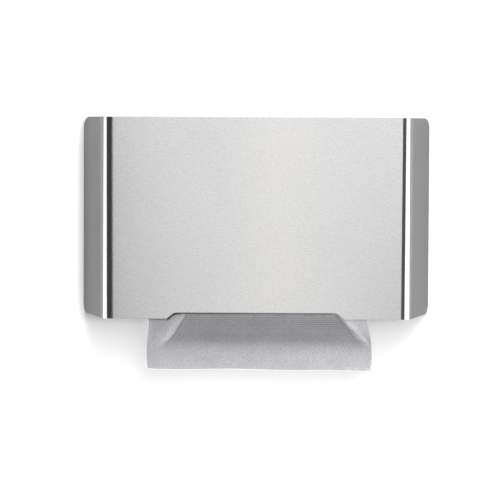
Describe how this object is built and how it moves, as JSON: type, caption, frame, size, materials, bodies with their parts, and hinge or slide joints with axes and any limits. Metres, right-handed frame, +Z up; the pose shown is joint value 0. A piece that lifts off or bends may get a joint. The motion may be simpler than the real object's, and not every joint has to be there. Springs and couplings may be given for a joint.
{
  "type": "paper towel dispenser",
  "caption": "Wall-mounted folded paper towel dispenser with a brushed steel front, flared grey sides, a hinged cover with a cam lock, and a towel hanging from the slot below.",
  "frame": {"origin": "middle of the flat back of the wall plate, on the wall", "axes": "+X to the right as seen from the front, +Y into the wall, +Z up"},
  "size_m": [0.3148, 0.125, 0.225],
  "materials": {
    "cover_plastic": "satin silver-grey moulded ABS with a fine texture",
    "base_plastic": "satin grey moulded ABS",
    "steel_sheet": "stainless sheet, horizontal brushed grain",
    "zinc_steel": "bright zinc-plated pressed steel",
    "pin_steel": "ground steel",
    "spring_steel": "blackened spring steel",
    "screw_steel": "bright steel screw",
    "plug_steel": "turned plug, satin",
    "lock_chrome": "chromed zinc barrel",
    "foam_tape": "white double-sided foam tape",
    "stack_paper": "interleaved folded tissue towels",
    "towel_paper": "embossed two-ply tissue"
  },
  "bodies": {
    "base": {"wall_base": "base_plastic", "towel_tray": "base_plastic", "paper_guide_left": "zinc_steel", "paper_guide_right": "zinc_steel", "catch_plate": "zinc_steel", "guide_screw_1": "screw_steel", "guide_screw_2": "screw_steel", "guide_screw_3": "screw_steel", "guide_screw_4": "screw_steel", "catch_screw_1": "screw_steel", "catch_screw_2": "screw_steel", "tray_screw_1": "screw_steel", "tray_screw_2": "screw_steel", "tray_screw_3": "screw_steel", "tray_screw_4": "screw_steel", "hinge_pin_left": "pin_steel", "hinge_pin_right": "pin_steel", "pin_clip_left": "spring_steel", "pin_clip_right": "spring_steel", "towel_stack": "stack_paper", "hanging_towel": "towel_paper"},
    "cover": {"cover_shell": "cover_plastic", "front_panel": "steel_sheet", "panel_tape_left": "foam_tape", "panel_tape_mid": "foam_tape", "panel_tape_right": "foam_tape", "lock_barrel": "lock_chrome", "lock_nut": "zinc_steel"},
    "lock_plug": {"lock_plug": "plug_steel", "lock_cam": "zinc_steel", "cam_washer": "zinc_steel", "cam_screw": "screw_steel"}
  },
  "joints": [
    {"name": "cover_hinge", "type": "hinge", "parent": "base", "child": "cover", "pos_m": [0, -0.114, -0.079], "axis": [1, 0, 0], "range_deg": [0, 85]},
    {"name": "lock_turn", "type": "hinge", "parent": "cover", "child": "lock_plug", "pos_m": [0, -0.03, 0.06], "axis": [0, 0, 1], "range_deg": [0, 90]}
  ]
}
